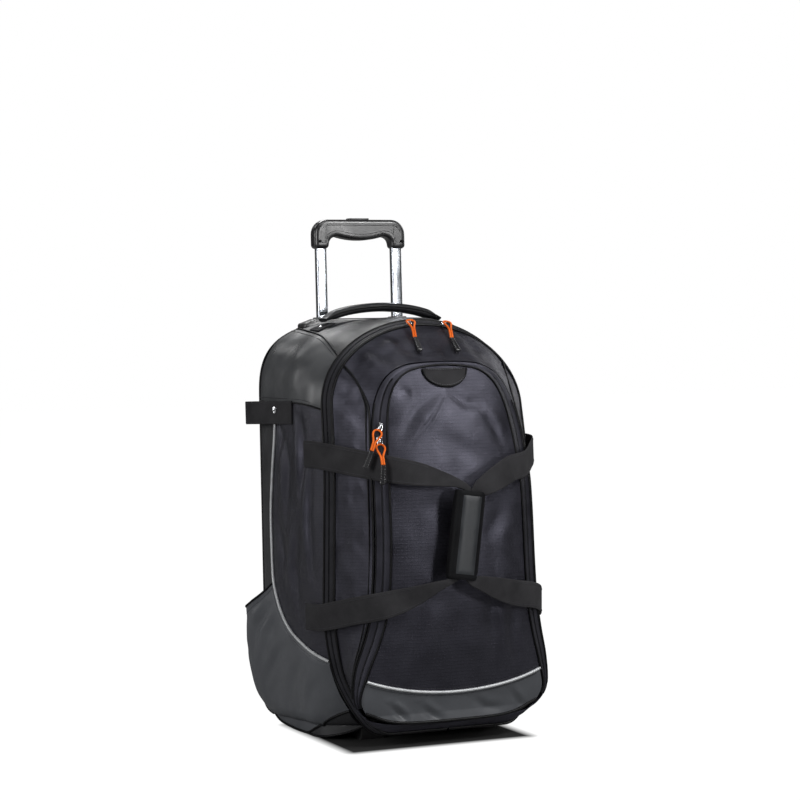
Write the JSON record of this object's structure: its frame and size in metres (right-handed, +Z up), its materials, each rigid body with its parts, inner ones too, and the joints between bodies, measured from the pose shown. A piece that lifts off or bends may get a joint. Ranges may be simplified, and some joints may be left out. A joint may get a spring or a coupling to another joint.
{
  "type": "wheeled bag",
  "caption": "Upright wheeled sports bag with a telescopic trolley handle, front pocket, padded carrying straps and a side holder for a stick.",
  "frame": {"origin": "on the floor, under the middle of the bag's outline", "axes": "+Z up; the front pocket faces -Y, the trolley stands along +Y, and the stick holder is on -X"},
  "size_m": [0.4128, 0.4496, 0.8356],
  "materials": {
    "black_nylon": "matte woven nylon",
    "ripstop_nylon": "woven ripstop with a low sheen",
    "coated_grey": "satin coated cloth",
    "black_webbing": "ribbed webbing",
    "zip_tape": "knitted tape with a nylon coil",
    "reflective_piping": "silver reflective piping",
    "padded_grey": "padded woven cloth",
    "moulded_black": "fine moulded grain",
    "black_rubber": "matte",
    "tyre_black": "matte with light scuffs",
    "satin_aluminium": "satin anodised",
    "bright_metal": "polished",
    "orange_cord": "braided"
  },
  "bodies": {
    "bag": {"top_panel": "black_nylon", "back_panel": "black_nylon", "front_flap": "black_nylon", "side_strip_left": "black_nylon", "side_strip_right": "black_nylon", "pocket_gusset": "ripstop_nylon", "front_pocket": "ripstop_nylon", "side_panel_left": "ripstop_nylon", "side_panel_right": "ripstop_nylon", "pocket_band": "coated_grey", "lower_panel_left": "coated_grey", "lower_panel_right": "coated_grey", "shoulder_panel_left": "coated_grey", "shoulder_panel_right": "coated_grey", "grab_patch": "black_webbing", "top_handle": "black_webbing", "stick_strap": "black_webbing", "carry_strap_left": "black_webbing", "carry_strap_right": "black_webbing", "handle_tab_left": "black_webbing", "handle_tab_right": "black_webbing", "main_zip": "zip_tape", "pocket_zip": "zip_tape", "pocket_piping": "reflective_piping", "side_piping_left": "reflective_piping", "side_piping_right": "reflective_piping", "grip_wrap": "padded_grey", "base_board": "moulded_black", "top_plate": "moulded_black", "wheel_housing_left": "moulded_black", "wheel_housing_right": "moulded_black", "front_foot_left": "black_rubber", "front_foot_right": "black_rubber", "pull_tip_top_left": "black_rubber", "pull_tip_top_right": "black_rubber", "pull_tip_side_upper": "black_rubber", "pull_tip_side_lower": "black_rubber", "trolley_sleeve_left": "satin_aluminium", "trolley_sleeve_right": "satin_aluminium", "stick_snap": "bright_metal", "zip_slider_top_left": "bright_metal", "zip_slider_top_right": "bright_metal", "zip_slider_side_upper": "bright_metal", "zip_slider_side_lower": "bright_metal", "pull_cord_top_left": "orange_cord", "pull_cord_top_right": "orange_cord", "pull_cord_side_upper": "orange_cord", "pull_cord_side_lower": "orange_cord"},
    "handle": {"trolley_grip": "moulded_black", "trolley_tube_left": "satin_aluminium", "trolley_tube_right": "satin_aluminium", "grip_screw_left": "bright_metal", "grip_screw_right": "bright_metal"},
    "button": {"release_button": "black_rubber"},
    "wheel_left": {"wheel_tyre_left": "tyre_black", "wheel_hub_left": "moulded_black"},
    "wheel_right": {"wheel_tyre_right": "tyre_black", "wheel_hub_right": "moulded_black"}
  },
  "joints": [
    {"name": "handle_slide", "type": "slide", "parent": "bag", "child": "handle", "axis": [0, 0.0576, 0.9983], "range_m": [-0.115, 0.23]},
    {"name": "button_press", "type": "slide", "parent": "handle", "child": "button", "axis": [0, 0.0576, 0.9983], "range_m": [-0.003, 0], "stiffness_N_per_m": 800},
    {"name": "left_wheel_spin", "type": "hinge", "parent": "bag", "child": "wheel_left", "pos_m": [-0.14762, 0.15698, 0.036], "axis": [1, 0, 0], "continuous": true},
    {"name": "right_wheel_spin", "type": "hinge", "parent": "bag", "child": "wheel_right", "pos_m": [0.16438, 0.15698, 0.036], "axis": [1, 0, 0], "continuous": true}
  ]
}
